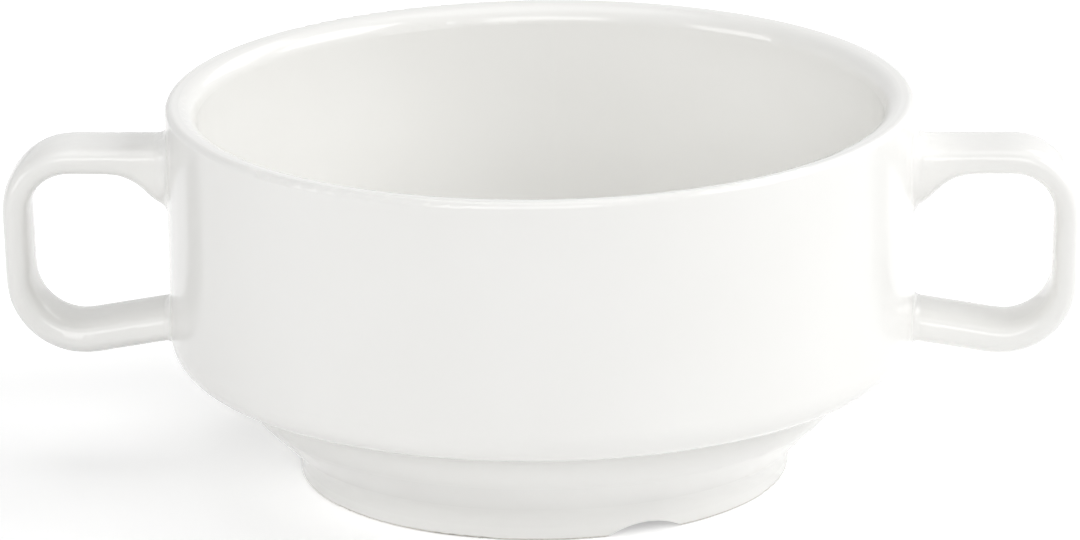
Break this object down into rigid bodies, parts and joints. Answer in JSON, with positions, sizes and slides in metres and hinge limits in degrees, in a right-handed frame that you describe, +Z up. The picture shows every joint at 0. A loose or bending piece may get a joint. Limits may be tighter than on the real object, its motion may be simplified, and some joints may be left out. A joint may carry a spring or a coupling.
{
  "type": "bouillon cup",
  "caption": "Wide stacking soup cup with a broad round bowl, stepped foot and a squared loop handle on either side, in white glazed porcelain.",
  "frame": {"origin": "centre of the foot ring, on the plane that the cup rests on", "axes": "+Z up along the bowl's axis, +X through the middle of one handle, +Y square to both handles"},
  "size_m": [0.1566, 0.1084, 0.0557],
  "materials": {
    "glazed_porcelain": "glossy white glaze"
  },
  "bodies": {
    "root": {"bouillon_cup": "glazed_porcelain"}
  },
  "joints": []
}
